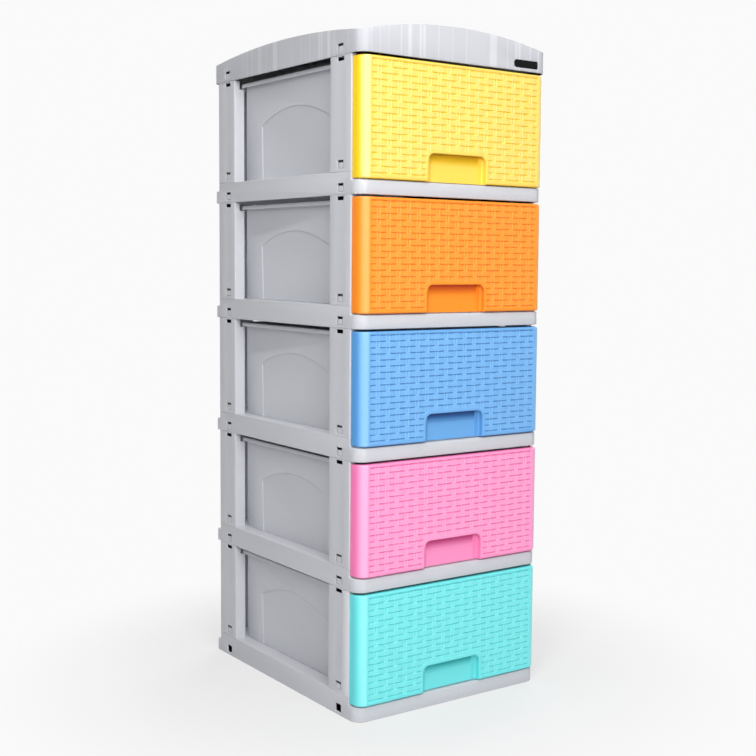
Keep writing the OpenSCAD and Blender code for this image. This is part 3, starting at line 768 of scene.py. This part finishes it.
for piece in greyPieces:
    paint(piece, "lidPlastic" if piece.name.startswith("lid") else "framePlastic")
for piece in tubPieces:
    paint(piece, "tubPlastic")
for k, piece in fronts.items():
    paint(piece, frontColours[k] + "Plastic")
paint(badge, "badgePlastic")
print("materials made", len(made))


studio = dict(
    side=14.0,                   # metres from the middle of the floor to its edges
    floor=tone(225, 225, 227), backdrop=tone(250, 250, 250),
    glow=0.56, paper=0.30,       # the camera sees this much constant white and this much of the lit paper
    clear=(0.22, 0.62),          # metres from the tower where the floor gives way to the backdrop
    sky=0.12, skyTint=(0.97, 0.985, 1),
    lamps=[  # place, aim, width, height (metres), power (watts)
        ((-1.05, -1.05, 1.4), (0, 0, 0.45), 0.42, 1.5, 14.8),
        ((-0.75, -2.45, 1.15), (0, 0, 0.5), 1.1, 1.6, 25.5),
        ((-0.3, -1.1, 2.5), (0, -0.1, 0.5), 1.5, 0.8, 20),
        ((-0.3, 0.3, 2.6), (0, 0, 0.5), 1.6, 1.2, 8),
        ((1.7, 1.3, 1.3), (0, 0, 0.5), 1.6, 1.8, 26),
    ],
)


def cameraOrMirror(tree):
    # 1 for rays from the camera, or seen in gloss or glass
    path = add(tree, "LightPath").outputs
    first = calc(tree, "MAXIMUM", path["Is Camera Ray"], path["Is Glossy Ray"])
    return calc(tree, "MAXIMUM", first, path["Is Transmission Ray"])


def addFloor(plan):
    side = plan["side"]
    mesh = bpy.data.meshes.new("floor")
    mesh.from_pydata([(-side, -side, 0), (side, -side, 0), (side, side, 0), (-side, side, 0)], [], [(0, 1, 2, 3)])
    floor = bpy.data.objects.new("floor", mesh)
    scene.collection.objects.link(floor)
    material = bpy.data.materials.new("paleFloor")
    material.use_nodes = True
    tree = material.node_tree
    tree.nodes.clear()
    out = add(tree, "OutputMaterial")
    paper = add(tree, "BsdfDiffuse", [("Color", (*plan["floor"], 1))])
    lit = add(tree, "BsdfDiffuse", [("Color", (plan["paper"],) * 3 + (1,))])
    base = add(tree, "Emission", [("Color", (1, 1, 1, 1)), ("Strength", plan["glow"])])
    near = add(tree, "AddShader", [(0, lit.outputs[0]), (1, base.outputs[0])])
    glow = add(tree, "Emission", [("Color", (*plan["backdrop"], 1)), ("Strength", 1.0)])
    spot = add(tree, "VectorMath", [(0, objectPlace(tree))], operation="LENGTH")
    far = remap(tree, spot.outputs["Value"], plan["clear"], interpolation_type="SMOOTHSTEP")
    seen = add(tree, "MixShader", [(0, far), (1, near.outputs[0]), (2, glow.outputs[0])])
    mix = add(tree, "MixShader", [(0, cameraOrMirror(tree)), (1, paper.outputs[0]), (2, seen.outputs[0])])
    tree.links.new(mix.outputs[0], out.inputs["Surface"])
    mesh.materials.append(material)


def addSky(plan):
    world = bpy.data.worlds.new("studio")
    scene.world = world
    world.use_nodes = True
    tree = world.node_tree
    tree.nodes.clear()
    out = add(tree, "OutputWorld")
    soft = add(tree, "Background", [("Color", (*plan["skyTint"], 1)), ("Strength", plan["sky"])])
    white = add(tree, "Background", [("Color", (*plan["backdrop"], 1)), ("Strength", 1.0)])
    mix = add(tree, "MixShader", [(0, cameraOrMirror(tree)), (1, soft.outputs[0]), (2, white.outputs[0])])
    tree.links.new(mix.outputs[0], out.inputs["Surface"])


def addLamps(plan):
    for number, (place, aim, width, height, power) in enumerate(plan["lamps"]):
        data = bpy.data.lights.new(f"lamp{number}", "AREA")
        data.shape, data.size, data.size_y, data.energy = "RECTANGLE", width, height, power
        lamp = bpy.data.objects.new(f"lamp{number}", data)
        lamp.location = place
        lamp.visible_camera = False
        lamp.rotation_euler = (Vector(aim) - Vector(place)).to_track_quat("-Z", "Y").to_euler()
        scene.collection.objects.link(lamp)


addFloor(studio)
addSky(studio)
addLamps(studio)
scene.view_settings.view_transform = "Standard"
print("studio lit")
